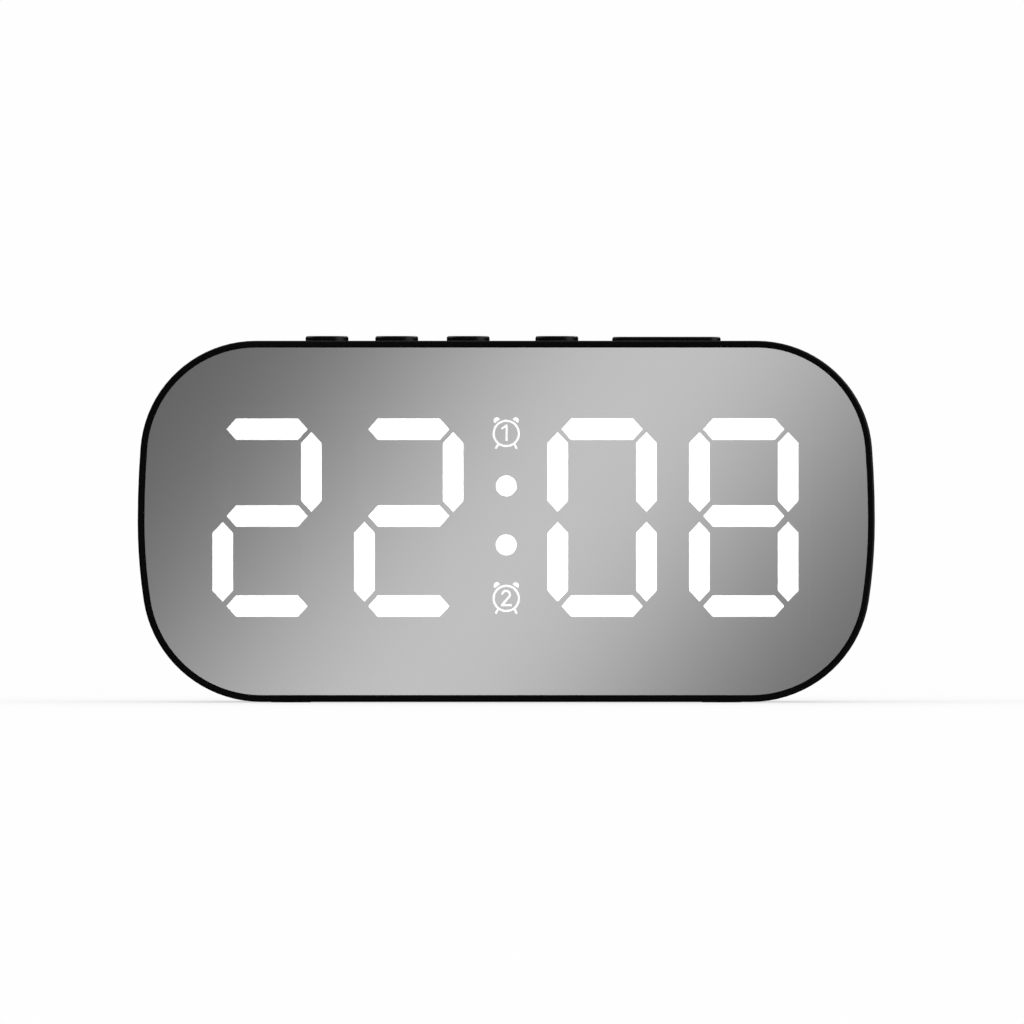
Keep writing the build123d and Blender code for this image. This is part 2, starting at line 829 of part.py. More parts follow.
# ================================================================ rear cover
# Closes the back. It holds the battery bay, the power inlet and the buzzer.
with BuildPart() as rear_cover:
    with BuildSketch(across(back_y)):
        add(outline())
    extrude(amount=cover_depth)
    fillet(rear_cover.faces().sort_by(Axis.Y)[-1].edges(), back_round)
    with BuildSketch(across(cover_inside_y)):
        add(outline(wall))
    extrude(amount=cover_inside_y - parting_y, mode=Mode.SUBTRACT)
    with BuildSketch(across(parting_y)):
        add(outline(wall / 2 + tongue_play))
        add(outline(wall), mode=Mode.SUBTRACT)
    extrude(amount=tongue_length)

    # screw wells
    with BuildSketch(across(cover_inside_y)):
        with Locations(*cover_screw_places):
            Circle(column_radius)
        add(outline(wall / 2), mode=Mode.INTERSECT)
    extrude(amount=cover_inside_y - parting_y)
    with BuildSketch(across(back_y)):
        with Locations(*cover_screw_places):
            Circle(screw_well_radius)
    extrude(amount=back_y - screw_seat_y, mode=Mode.SUBTRACT)
    with BuildSketch(across(back_y)):
        with Locations(*cover_screw_places):
            Circle(screw_radius + loose_play)
    extrude(amount=cover_depth, mode=Mode.SUBTRACT)

    # battery bay, hinge sockets and the hole that the door closes
    with BuildSketch(across(cover_inside_y)):
        Rectangle(bay_length + 2 * bay_wall, bay_height + 2 * bay_wall)
    extrude(amount=cover_inside_y - bay_front_y)
    with BuildSketch(across(cover_inside_y)):
        with Locations((0, hinge_z)):
            Rectangle(opening_width + 2 * pin_length + 2 * socket_wall, 2 * (pin_radius + socket_wall))
    extrude(amount=socket_depth)
    with BuildSketch(across(back_y)):
        Rectangle(bay_length, bay_height)
    extrude(amount=back_y - bay_floor_y, mode=Mode.SUBTRACT)
    with BuildSketch(across(back_y)):
        with Locations((0, (opening_top + opening_bottom) / 2)):
            Rectangle(opening_width, opening_top - opening_bottom)
    extrude(amount=wall + fit_play, mode=Mode.SUBTRACT)
    with BuildSketch(Plane.YZ.offset(-opening_width / 2)):
        with Locations((hinge_y, body_mid + hinge_z)):
            Circle(knuckle_radius + loose_play)
    extrude(amount=opening_width, mode=Mode.SUBTRACT)
    with BuildSketch(Plane.YZ.offset(-opening_width / 2 - pin_length)):
        with Locations((hinge_y, body_mid + hinge_z)):
            Circle(pin_radius + running_play)
    extrude(amount=opening_width + 2 * pin_length, mode=Mode.SUBTRACT)

    # ribs between the cells, and slots for the two contact tabs
    with BuildSketch(across(bay_floor_y)):
        for row in range(cell_count - 1):
            with Locations((0, (cell_heights[row] + cell_heights[row + 1]) / 2)):
                with GridLocations(bay_length / 2, 1, 2, 1):
                    Rectangle(cell_rib_length, cell_rib_width)
    extrude(amount=-cell_rib_height)
    with BuildSketch(across(cell_y)):
        for side, height in ((1, cell_heights[0]), (-1, cell_heights[-1])):
            with Locations((side * (bay_length + bay_wall) / 2, height)):
                Rectangle(bay_wall + fit_play, tab_width + 2 * fit_play)
    extrude(amount=contact_thickness / 2 + fit_play, both=True, mode=Mode.SUBTRACT)

    # finger notch above the door
    with Locations((0, back_y + notch_radius - notch_depth, body_mid + opening_top)):
        Sphere(notch_radius, mode=Mode.SUBTRACT)

    # buzzer ring and grille
    with BuildSketch(across(cover_inside_y)):
        with Locations((buzzer_x, buzzer_z)):
            Circle(buzzer_radius + fit_play + buzzer_ring_wall)
            Circle(buzzer_radius + fit_play, mode=Mode.SUBTRACT)
    extrude(amount=buzzer_ring_height)
    with BuildSketch(across(back_y)):
        with Locations((buzzer_x, buzzer_z)):
            Circle(grille_hole)
            with PolarLocations(grille_radius, grille_holes):
                Circle(grille_hole)
    extrude(amount=wall, mode=Mode.SUBTRACT)

    # inlet pocket, its hole and the shelf that its board is screwed to
    with BuildSketch(across(back_y)):
        with Locations((inlet_x, inlet_z)):
            RectangleRounded(inlet_pocket_width, inlet_pocket_height, inlet_pocket_corner)
    extrude(amount=inlet_pocket_depth, mode=Mode.SUBTRACT)
    with BuildSketch(across(back_y)):
        with Locations((inlet_x, inlet_z)):
            RectangleRounded(
                inlet_width + 2 * loose_play, inlet_height + 2 * loose_play, inlet_corner + loose_play
            )
    extrude(amount=wall, mode=Mode.SUBTRACT)
    with BuildSketch(across(cover_inside_y)):
        with Locations((inlet_x, inlet_shelf_top - inlet_shelf_thickness / 2)):
            Rectangle(inlet_board_width, inlet_shelf_thickness)
    extrude(amount=inlet_shelf_depth)
    inlet_screw_places = [
        (inlet_x + side * inlet_screw_x, inlet_board_back_y - inlet_board_depth + inlet_screw_y)
        for side in (-1, 1)
    ]
    with BuildSketch(Plane.XY.offset(body_mid + inlet_shelf_top)):
        with Locations(*inlet_screw_places):
            Circle(screw_radius * inlet_screw_scale + press_play)
    extrude(amount=-inlet_shelf_thickness, mode=Mode.SUBTRACT)
rear_cover.part.label = "rear_cover"
export_step(rear_cover.part, "parts/rear_cover.step")

with BuildPart() as cover_screws:
    with Locations(
        *[Plane(origin=(x, screw_seat_y, body_mid + z), z_dir=(0, 1, 0)) for x, z in cover_screw_places]
    ):
        add(screw(cover_screw_length))
cover_screws.part.label = "cover_screws"
export_step(cover_screws.part, "parts/cover_screws.step")

# ================================================================ battery door
# Turns on two round pins at its lower edge. A latch at the top grips the bay's upper wall.
with BuildPart() as battery_door:
    with BuildSketch(across(back_y)):
        with Locations((0, (door_top + hinge_z) / 2)):
            Rectangle(door_width, door_top - hinge_z)
    extrude(amount=back_y - door_inside_y)
    with BuildSketch(Plane.YZ.offset(-door_width / 2)):
        with Locations((hinge_y, body_mid + hinge_z)):
            Circle(knuckle_radius)
    extrude(amount=door_width)
    with BuildSketch(Plane.YZ.offset(-door_width / 2 - pin_length)):
        with Locations((hinge_y, body_mid + hinge_z)):
            Circle(pin_radius)
    extrude(amount=door_width + 2 * pin_length)
    with BuildSketch(across(door_inside_y)):
        with Locations((0, bay_height / 2 - latch_play - latch_thickness / 2)):
            Rectangle(latch_width, latch_thickness)
    extrude(amount=latch_length)
    with BuildSketch(across(back_y)):
        with Locations((0, door_top - (grip_count + 1) * grip_pitch / 2)):
            with GridLocations(1, grip_pitch, 1, grip_count):
                SlotOverall(grip_width, grip_height)
    extrude(amount=grip_depth, mode=Mode.SUBTRACT)
battery_door.part.label = "battery_door"
export_step(battery_door.part, "parts/battery_door.step")

# ================================================================ cells and contacts
# The cells lie one above another, each turned end for end from the last, and are in series.
for row, height in enumerate(cell_heights):
    plus = 1 if row % 2 == 0 else -1
    nub_end = plus * (bay_length / 2 - contact_thickness - fit_play)
    with BuildPart() as battery_cell:
        with BuildSketch(Plane.YZ.offset(nub_end - plus * cell_nub_height)):
            with Locations((cell_y, body_mid + height)):
                Circle(cell_diameter / 2)
        extrude(amount=-plus * (cell_length - cell_nub_height))
        fillet(battery_cell.faces().filter_by(GeomType.PLANE).edges(), cell_round)
        with BuildSketch(Plane.YZ.offset(nub_end)):
            with Locations((cell_y, body_mid + height)):
                Circle(cell_nub_radius)
        extrude(amount=-plus * cell_nub_height)
    battery_cell.part.label = f"battery_cell_{row + 1}"
    export_step(battery_cell.part, f"parts/battery_cell_{row + 1}.step")

with BuildPart() as coil:
    with BuildLine() as coil_path:
        Helix(
            pitch=spring_length / spring_turns,
            height=spring_length,
            radius=spring_radius,
            cone_angle=spring_cone,
        )
    with BuildSketch(Plane(origin=coil_path.line @ 0, z_dir=coil_path.line % 0)):
        Circle(spring_wire)
    sweep(path=coil_path.line, is_frenet=True)

with BuildPart() as battery_springs:
    for row, height in enumerate(cell_heights):
        minus = -1 if row % 2 == 0 else 1
        end = minus * (bay_length / 2 - contact_thickness - spring_wire - fit_play)
        with Locations(Plane(origin=(end, cell_y, body_mid + height), z_dir=(-minus, 0, 0))):
            add(coil.part)
battery_springs.part.label = "battery_springs"
export_step(battery_springs.part, "parts/battery_springs.step")

with BuildPart() as battery_contacts:
    for side in (-1, 1):
        with BuildSketch(Plane.YZ.offset(side * bay_length / 2)):
            with Locations(*[(cell_y, body_mid + height) for height in cell_heights]):
                Rectangle(contact_width, contact_width)
        extrude(amount=-side * contact_thickness)
    for side, height in ((1, cell_heights[0]), (-1, cell_heights[-1])):
        with BuildSketch(Plane.YZ.offset(side * bay_length / 2)):
            with Locations((cell_y, body_mid + height)):
                Rectangle(contact_thickness, tab_width)
        extrude(amount=side * (bay_wall + tab_reach))
battery_contacts.part.label = "battery_contacts"
export_step(battery_contacts.part, "parts/battery_contacts.step")

tab_end = bay_length / 2 + bay_wall + tab_reach
lead_out = 2 * lead_bend
with BuildPart() as battery_leads:
    for side, height in ((1, cell_heights[0]), (-1, cell_heights[-1])):
        add(
            lead(
                (side * tab_end, cell_y, body_mid + height),
                (side * (tab_end + lead_out), cell_y, body_mid + height),
                (side * (tab_end + lead_out), board_back_y, body_mid + height),
            )
        )
battery_leads.part.label = "battery_leads"
export_step(battery_leads.part, "parts/battery_leads.step")

# ================================================================ power inlet
# A small five-volt socket on its own board, facing out of the back.
with BuildPart() as inlet_shell:
    with BuildSketch(across(mouth_y)):
        with Locations((inlet_x, inlet_z)):
            RectangleRounded(inlet_width, inlet_height, inlet_corner)
            RectangleRounded(
                inlet_width - 2 * inlet_wall,
                inlet_height - 2 * inlet_wall,
                inlet_corner - inlet_wall,
                mode=Mode.SUBTRACT,
            )
    extrude(amount=inlet_depth)
inlet_shell.part.label = "inlet_shell"
export_step(inlet_shell.part, "parts/inlet_shell.step")

with BuildPart() as inlet_tongue:
    with BuildSketch(across(mouth_y - inlet_depth + inlet_tongue_base)):
        with Locations((inlet_x, inlet_z)):
            RectangleRounded(
                inlet_width - 2 * inlet_wall, inlet_height - 2 * inlet_wall, inlet_corner - inlet_wall
            )
    extrude(amount=inlet_tongue_base)
    with BuildSketch(across(mouth_y - inlet_set_back)):
        with Locations((inlet_x, inlet_z + inlet_tongue_height / 2)):
            Rectangle(inlet_tongue_width, inlet_tongue_height)
    extrude(amount=inlet_depth - inlet_set_back - inlet_tongue_base)
inlet_tongue.part.label = "inlet_tongue"
export_step(inlet_tongue.part, "parts/inlet_tongue.step")

with BuildPart() as inlet_board:
    with BuildSketch(Plane.XY.offset(body_mid + inlet_shelf_top)):
        with Locations((inlet_x, inlet_board_back_y - inlet_board_depth / 2)):
            Rectangle(inlet_board_width, inlet_board_depth)
        with Locations(*inlet_screw_places):
            Circle(screw_radius * inlet_screw_scale + fit_play, mode=Mode.SUBTRACT)
    extrude(amount=inlet_board_thickness)
inlet_board.part.label = "inlet_board"
export_step(inlet_board.part, "parts/inlet_board.step")

with BuildPart() as inlet_screws:
    with Locations(*[(x, y, body_mid + inlet_board_top) for x, y in inlet_screw_places]):
        add(screw(inlet_screw_length, inlet_screw_scale))
inlet_screws.part.label = "inlet_screws"
export_step(inlet_screws.part, "parts/inlet_screws.step")

inlet_board_front_y = inlet_board_back_y - inlet_board_depth
with BuildPart() as inlet_leads:
    for side in (-1, 1):
        start_x = inlet_x + side * inlet_lead_apart / 2
        lead_height = body_mid + inlet_board_top - inlet_board_thickness / 2
        add(
            lead(
                (start_x, inlet_board_front_y, lead_height),
                (start_x, inlet_board_front_y - lead_straight, lead_height),
                (start_x - lead_step, board_back_y + lead_straight, lead_height + lead_step),
                (start_x - lead_step, board_back_y, lead_height + lead_step),
            )
        )
inlet_leads.part.label = "inlet_leads"
export_step(inlet_leads.part, "parts/inlet_leads.step")

# ================================================================ buzzer
with BuildPart() as buzzer:
    with BuildSketch(across(cover_inside_y)):
        with Locations((buzzer_x, buzzer_z)):
            Circle(buzzer_radius)
    extrude(amount=buzzer_height)
    fillet(buzzer.faces().sort_by(Axis.Y)[0].edges(), buzzer_round)
    with BuildSketch(across(cover_inside_y)):
        with Locations((buzzer_x, buzzer_z)):
            Circle(buzzer_port_radius)
    extrude(amount=buzzer_port_depth, mode=Mode.SUBTRACT)
buzzer.part.label = "buzzer"
export_step(buzzer.part, "parts/buzzer.step")

with BuildPart() as buzzer_leads:
    for side in (-1, 1):
        start_x = buzzer_x + side * buzzer_lead_apart
        lead_height = body_mid + buzzer_z
        add(
            lead(
                (start_x, buzzer_front_y, lead_height),
                (start_x, buzzer_front_y - lead_straight, lead_height),
                (start_x + lead_step, board_back_y + lead_straight, lead_height - lead_step),
                (start_x + lead_step, board_back_y, lead_height - lead_step),
            )
        )
buzzer_leads.part.label = "buzzer_leads"
export_step(buzzer_leads.part, "parts/buzzer_leads.step")

# ================================================================ feet
with BuildPart() as feet:
    with BuildSketch(Plane.XY):
        with Locations(*foot_places):
            Circle(foot_radius)
    extrude(amount=foot_stand + foot_recess)
feet.part.label = "feet"
export_step(feet.part, "parts/feet.step")
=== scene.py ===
import math

import bpy
from mathutils import Matrix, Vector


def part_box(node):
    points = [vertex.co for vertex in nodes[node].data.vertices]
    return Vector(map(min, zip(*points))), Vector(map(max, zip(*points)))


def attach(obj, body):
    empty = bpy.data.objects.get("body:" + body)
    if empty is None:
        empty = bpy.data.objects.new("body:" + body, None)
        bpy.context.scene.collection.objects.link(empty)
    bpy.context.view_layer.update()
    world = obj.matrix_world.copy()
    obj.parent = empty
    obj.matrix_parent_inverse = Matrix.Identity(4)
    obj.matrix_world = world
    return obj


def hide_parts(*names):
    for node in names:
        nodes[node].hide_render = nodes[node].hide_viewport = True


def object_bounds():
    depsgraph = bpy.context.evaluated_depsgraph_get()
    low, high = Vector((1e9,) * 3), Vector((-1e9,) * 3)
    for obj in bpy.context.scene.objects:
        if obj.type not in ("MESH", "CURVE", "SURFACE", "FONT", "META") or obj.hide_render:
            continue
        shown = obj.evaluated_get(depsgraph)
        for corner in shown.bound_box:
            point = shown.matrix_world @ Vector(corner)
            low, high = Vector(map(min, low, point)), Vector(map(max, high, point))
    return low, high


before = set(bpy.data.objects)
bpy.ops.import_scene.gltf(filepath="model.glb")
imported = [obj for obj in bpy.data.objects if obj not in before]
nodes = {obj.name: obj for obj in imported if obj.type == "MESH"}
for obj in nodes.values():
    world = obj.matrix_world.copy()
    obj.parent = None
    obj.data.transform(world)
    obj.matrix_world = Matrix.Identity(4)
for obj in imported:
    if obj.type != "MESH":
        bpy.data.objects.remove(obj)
cad_low, cad_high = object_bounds()

# ================================================================ camera and studio
# The camera stands level with the clock's middle and far off. The clock stands on a pale table
# in a white room, and a tent of soft cards, seen only in its gloss, gives the mirror its greys.
body_low, body_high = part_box("front_housing")
middle_z = (body_low.z + body_high.z) / 2
front_y = body_low.y

camera_distance = 4.0
frame_width = 0.18054
look_right = 0.00101
look_up = 0.00165
camera_data = bpy.data.cameras.new("front_camera")
camera_data.sensor_width = 36.0
camera_data.lens = camera_data.sensor_width * camera_distance / frame_width
camera = bpy.data.objects.new("front_camera", camera_data)
camera.location = (look_right, front_y - camera_distance, middle_z + look_up)
camera.rotation_euler = (math.pi / 2, 0, 0)
bpy.context.scene.collection.objects.link(camera)
bpy.context.scene.camera = camera
bpy.context.scene.view_settings.view_transform = "Standard"

room_white = 0.991
room = bpy.data.worlds.new("white_room")
room.use_nodes = True
room.node_tree.nodes["Background"].inputs["Color"].default_value = (*(room_white,) * 3, 1)
bpy.context.scene.world = room


class Link:
    """One output in a material's nodes. Arithmetic and comparisons on it add Math nodes."""

    def __init__(self, finish, socket):
        self.finish = finish
        self.socket = socket

    def math(self, operation, *values):
        return self.finish.add("ShaderNodeMath", {"operation": operation}, dict(enumerate(values)))

    def __add__(self, other):
        return self.math("ADD", self, other)

    def __sub__(self, other):
        return self.math("SUBTRACT", self, other)

    def __rsub__(self, other):
        return self.math("SUBTRACT", other, self)

    def __mul__(self, other):
        return self.math("MULTIPLY", self, other)

    def __truediv__(self, other):
        return self.math("DIVIDE", self, other)

    def __pow__(self, other):
        return self.math("POWER", self, other)

    def __gt__(self, other):
        return self.math("GREATER_THAN", self, other)

    def __lt__(self, other):
        return self.math("LESS_THAN", self, other)

    def __abs__(self):
        return self.math("ABSOLUTE", self)

    __radd__ = __add__
    __rmul__ = __mul__


class Finish:
    """A material: a Principled shader with its fixed values, and the nodes that feed it."""

    def __init__(self, name, **fixed):
        self.material = bpy.data.materials.new(name)
        self.material.use_nodes = True
        self.tree = self.material.node_tree
        self.shader = self.tree.nodes["Principled BSDF"]
        for socket, value in fixed.items():
            self.feed(socket.replace("_", " "), value)
        self.here = self.add("ShaderNodeTexCoord", {}, {}, "Object")
        split = self.add("ShaderNodeSeparateXYZ", {}, {"Vector": self.here}).socket.node
        self.x, self.y, self.z = (Link(self, split.outputs[axis]) for axis in "XYZ")

    def set(self, socket, value):
        if isinstance(value, Link):
            self.tree.links.new(value.socket, socket)
        elif isinstance(value, tuple) and socket.type == "RGBA":
            socket.default_value = (*value, 1)
        else:
            socket.default_value = value

    def feed(self, name, value):
        self.set(self.shader.inputs[name], value)

    def add(self, kind, settings, sockets, output=0):
        node = self.tree.nodes.new(kind)
        for name, value in settings.items():
            setattr(node, name, value)
        for name, value in sockets.items():
            self.set(node.inputs[name], value)
        return Link(self, node.outputs[output])

    def noise(self, scale, detail=2.0):
        return self.add(
            "ShaderNodeTexNoise", {}, {"Vector": self.here, "Scale": scale, "Detail": detail}
        )

    def mix(self, mask, without, within):
        colours = {"Factor": mask, 6: without, 7: within}
        return self.add("ShaderNodeMix", {"data_type": "RGBA"}, colours, 2)

    def step(self, value, start, end):
        """0 up to start, 1 from end on, and smooth between."""
        return self.add(
            "ShaderNodeMapRange",
            {"interpolation_type": "SMOOTHSTEP"},
            {"Value": value, "From Min": start, "From Max": end},
        )

    def bump(self, height, strength, distance):
        sockets = {"Height": height, "Strength": strength, "Distance": distance}
        self.feed("Normal", self.add("ShaderNodeBump", {}, sockets))

    def put_on(self, *names):
        """Gives this finish to nodes of the frame."""
        for name in names:
            nodes[name].data.materials.clear()
            nodes[name].data.materials.append(self.material)


def primitive(kind, name, **sizes):
    """Adds one of Blender's primitives with nothing else selected."""
    bpy.ops.object.select_all(action="DESELECT")
    getattr(bpy.ops.mesh, f"primitive_{kind}_add")(**sizes)
    piece = bpy.context.object
    piece.name = name
    return piece


# the table glows a little by itself, so that the shadow on it stays faint
table_size = 14.0
table = primitive("plane", "table_top", size=table_size, location=(0, 0, cad_low.z))
pale = Finish("pale_table", Roughness=1.0, Specular_IOR_Level=0.0, Emission_Strength=1.0)
pale.feed("Emission Color", (0.625, 0.625, 0.625))
pale.feed("Base Color", pale.mix(pale.noise(2.0), (0.368, 0.368, 0.368), (0.372, 0.372, 0.372)))
table.data.materials.append(pale.material)
table.visible_glossy = False

# the tent: slanting bands of grey all round, dark behind the clock, and four bright cards
tent_radius = 8.0
tent = primitive(
    "uv_sphere",
    "light_tent",
    segments=64,
    ring_count=32,
    radius=tent_radius,
    location=(0, front_y, middle_z),
)
bpy.ops.object.transform_apply(location=True)
glow = Finish("tent_glow", Roughness=1.0, Specular_IOR_Level=0.0, Emission_Strength=1.0)
glow.feed("Base Color", (0.0, 0.0, 0.0))
out_x, out_y, out_z = glow.x, glow.y - front_y, glow.z - middle_z
turn = glow.add("ShaderNodeMath", {"operation": "ARCTAN2"}, {0: out_x, 1: out_y * -1.0})
climb = glow.add("ShaderNodeMath", {"operation": "ARCSINE"}, {0: out_z / tent_radius})
band_slant = math.radians(36)
band_spacing = 0.211  # as the bands lie across the mirror
band_place = 0.0055
band_sharpness = 2.63
mirror_share = 0.76  # of the light that meets the mirror, what it throws back
band_dark = 0.111 / mirror_share
band_bright = 0.425 / mirror_share
spread = (camera_distance + tent_radius) / camera_distance
along = turn * math.cos(band_slant) - climb * math.sin(band_slant)
phase = (along * (tent_radius / spread) - band_place) * (math.tau / band_spacing)
wave = glow.add("ShaderNodeMath", {"operation": "COSINE"}, {0: phase})
bands = (wave * 0.5 + 0.5) ** band_sharpness * band_bright + band_dark


def card(turn_range, climb_range, blur):
    """1 on a card between two compass turns and two heights, in degrees, with soft edges."""
    mask = None
    for value, (start, end) in ((turn, turn_range), (climb, climb_range)):
        for low, high in ((start - blur, start), (end + blur, end)):
            edge = glow.step(value, math.radians(low), math.radians(high))
            mask = edge if mask is None else mask * edge
    return mask


dark_turn = (math.radians(105), math.radians(125))
dark_climb = (math.radians(10), math.radians(22))
behind = glow.step(abs(turn), *dark_turn)
at_eye_level = 1 - glow.step(abs(climb), *dark_climb)
level = bands * (1 - behind * at_eye_level)
for turn_range, climb_range, blur, strength in (
    ((32, 78), (-8, 50), 8, 6.5),  # front right
    ((-150, -105), (32, 60), 10, 4.5),  # back left
    ((125, 165), (30, 60), 10, 4.5),  # back right
    ((-400, 400), (72, 100), 14, 1.0),  # overhead, all round
):
    level = level + card(turn_range, climb_range, blur) * strength
# what the mirror throws on the table is left out, so the clock keeps its faint shadow there
bounces = glow.add("ShaderNodeLightPath", {}, {}, "Diffuse Depth")
level = level * (bounces < 0.5)
grey = glow.add("ShaderNodeCombineColor", {}, {"Red": level, "Green": level, "Blue": level})
glow.feed("Emission Color", grey)
tent.data.materials.append(glow.material)
tent.visible_camera = False
tent.visible_diffuse = False
tent.visible_transmission = False
tent.visible_shadow = False

# ================================================================ front housing
# One moulding in black ABS. Its narrow rim round the mirror is coloured darker than the rest of
# the moulding, which is painted shade, and its sides, top and bottom have a fine satin grain with
# a faint sheen.
satin = Finish("satin_black_moulding", Specular_IOR_Level=0.05, Coat_Roughness=0.38)
cloud = satin.noise(45.0)
grain = satin.noise(4500.0, 1.0)
rim_depth = 0.0012
past_rim = satin.step(satin.y, front_y + rim_depth, front_y + 2 * rim_depth)
# painted shade: the rim gets a much darker colour than the sides, top and bottom of the same
# moulding
rim_painted_shade = satin.mix(cloud, (0.0004, 0.0004, 0.0004), (0.0009, 0.0009, 0.0009))
side_black = satin.mix(cloud, (0.0035, 0.0035, 0.0036), (0.006, 0.006, 0.0062))
satin.feed("Base Color", satin.mix(past_rim, rim_painted_shade, side_black))
satin.feed("Roughness", 0.3 + 0.12 * cloud + 0.06 * grain)
satin.feed("Coat Weight", past_rim * (0.2 + 0.1 * cloud))
satin.bump(grain, 0.12, 0.00003)
satin.put_on("front_housing")

# ================================================================ rear cover and battery door
# Both are moulded in black ABS with a coarser spark-eroded texture, which hides sink marks over
# the bosses and ribs. The cover is held by four screws, and the door turns on its two pins.
eroded = Finish("textured_black_moulding", Specular_IOR_Level=0.35)
mottle = eroded.noise(60.0)
pits = eroded.add(
    "ShaderNodeTexVoronoi", {"feature": "SMOOTH_F1"}, {"Vector": eroded.here, "Scale": 3200.0}
)
eroded.feed("Base Color", eroded.mix(mottle, (0.006, 0.006, 0.0062), (0.0095, 0.0095, 0.0098)))
eroded.feed("Roughness", 0.46 + 0.1 * mottle)
eroded.bump(pits, 0.35, 0.00006)
eroded.put_on("rear_cover", "battery_door")

# ================================================================ mirror
# Clear acrylic with a half-silvered face, which throws back most of the light and lets the lit
# display through. A frame of black foam tape holds it.
low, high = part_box("mirror_panel")
face_depth = 0.0004  # takes in the bevel round the face
silver = Finish("half_silvered_acrylic", Metallic=1.0)
silver.feed("Alpha", (silver.y < low.y + face_depth) * mirror_share)
haze = silver.noise(18.0)
silver.feed("Base Color", silver.mix(haze, (0.985, 0.985, 0.985), (1.0, 1.0, 1.0)))
silver.feed("Roughness", 0.02 + 0.015 * haze)
silver.put_on("mirror_panel")

foam = Finish("black_foam_tape", Roughness=0.9, Specular_IOR_Level=0.05)
pores = foam.noise(2500.0)
foam.feed("Base Color", foam.mix(pores, (0.001, 0.001, 0.001), (0.004, 0.004, 0.004)))
foam.bump(pores, 0.3, 0.00005)
foam.put_on("mirror_tape")

# ================================================================ display
# Black printed film with the bars, dots and signs left clear, over windows of milky resin in a
# white moulded light box. The outer walls of the light box are coloured black, which is painted
# shade in the gap round it. The bars that are off are as dark as the film.
film = Finish("black_printed_film", Roughness=0.6, Specular_IOR_Level=0.05)
ink = film.noise(800.0)
film.feed("Base Color", film.mix(ink, (0.001, 0.001, 0.001), (0.003, 0.003, 0.003)))
film.put_on("segment_film")

digit_glow = 3.65
glow_spread = 0.03  # how far the milk in the resin leaves the light uneven
bar_thick = 0.0038
bar_reach = 0.0074  # from a bar's middle, across plus up, to just past its tips
upright_from_side = 0.00183
middle_up = 0.0003
bars_off = {  # how far each dark bar lies from the digit's middle, across and up
    "digit_1_segments": ((-1, 1), (1, -1)),
    "digit_2_segments": ((-1, 1), (1, -1)),
    "digit_3_segments": ((0, 0),),
    "digit_4_segments": (),
}
for name, dark_bars in bars_off.items():
    low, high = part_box(name)
    middle = (low + high) / 2
    side = (high.x - low.x) / 2 - upright_from_side
    rise = (high.z - low.z - bar_thick) / 4
    window = Finish(name + "_window", Roughness=0.5, Emission_Strength=digit_glow)
    milk = window.noise(400.0)
    resin = window.mix(milk, (0.02, 0.02, 0.02), (0.04, 0.04, 0.04))
    shine = window.mix(milk, (1.0 - glow_spread,) * 3, (1.0, 1.0, 1.0))
    for across, up in dark_bars:
        bar_x = middle.x + across * side
        bar_z = middle.z + up * rise + middle_up
        in_bar = abs(window.x - bar_x) + abs(window.z - bar_z) < bar_reach
        resin = window.mix(in_bar, resin, (0.001, 0.001, 0.001))
        shine = window.mix(in_bar, shine, (0.0, 0.0, 0.0))
    window.feed("Base Color", resin)
    window.feed("Emission Color", shine)
    window.put_on(name)

sign_glow = 2.3  # one small LED lights a whole sign
for name, glow_level in (
    ("colon_windows", digit_glow),
    ("alarm_1_sign", sign_glow),
    ("alarm_2_sign", sign_glow),
):
    lamp = Finish(name + "_window", Roughness=0.5, Emission_Strength=glow_level)
    milk = lamp.noise(400.0)
    lamp.feed("Base Color", lamp.mix(milk, (0.02, 0.02, 0.02), (0.04, 0.04, 0.04)))
    lamp.feed("Emission Color", lamp.mix(milk, (1.0 - glow_spread,) * 3, (1.0, 1.0, 1.0)))
    lamp.put_on(name)

low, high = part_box("light_box")
middle = (low + high) / 2
shade_skin = 0.0004
white = Finish("white_light_box", Roughness=0.35)
inner = white.mix(white.noise(150.0), (0.78, 0.78, 0.76), (0.84, 0.84, 0.82))
# painted shade: a thin skin on the box's sides, top and bottom is coloured black, the rest stays
# white
shaded_sides = abs(white.x) > high.x - shade_skin
shaded_edges = abs(white.z - middle.z) > (high.z - low.z) / 2 - shade_skin
painted_shade = shaded_sides + shaded_edges
white.feed("Base Color", white.mix(painted_shade, inner, (0.001, 0.001, 0.001)))
white.put_on("light_box")

# ================================================================ display board
# A green fibreglass board, its front printed black so that nothing shows round the light box.
# The LEDs are soldered on its front. Behind are the controller, its crystal, the drivers,
# resistors and two capacitors.
low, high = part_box("display_board")
print_depth = 0.0001
track_scale = 260.0
solder_mask = Finish("green_board", Roughness=0.35)
weave = solder_mask.noise(900.0)
over_board = {"Vector": solder_mask.here, "Scale": track_scale}
tracks = solder_mask.add("ShaderNodeTexWave", {"bands_direction": "DIAGONAL"}, over_board)
routed = solder_mask.step(solder_mask.noise(130.0, 0.0), 0.48, 0.52)
copper = (tracks > 0.6) * routed
board_green = solder_mask.mix(weave, (0.006, 0.045, 0.016), (0.009, 0.06, 0.022))
board_green = solder_mask.mix(copper, board_green, (0.02, 0.13, 0.045))
vias = solder_mask.add("ShaderNodeTexVoronoi", {}, over_board)
printed = solder_mask.y < low.y + print_depth
via = (vias < 0.12) * routed * (1 - printed)
board_green = solder_mask.mix(printed, board_green, (0.001, 0.001, 0.001))
solder_mask.feed("Base Color", solder_mask.mix(via, board_green, (0.55, 0.54, 0.5)))
solder_mask.feed("Metallic", via)
solder_mask.bump(copper, 0.4, 0.00003)
solder_mask.put_on("display_board", "key_board", "inlet_board")

phosphor = Finish("led_phosphor", Roughness=0.45)
clump = phosphor.noise(900.0)
phosphor.feed("Base Color", phosphor.mix(clump, (0.8, 0.62, 0.1), (0.85, 0.75, 0.3)))
phosphor.put_on("led_chips")

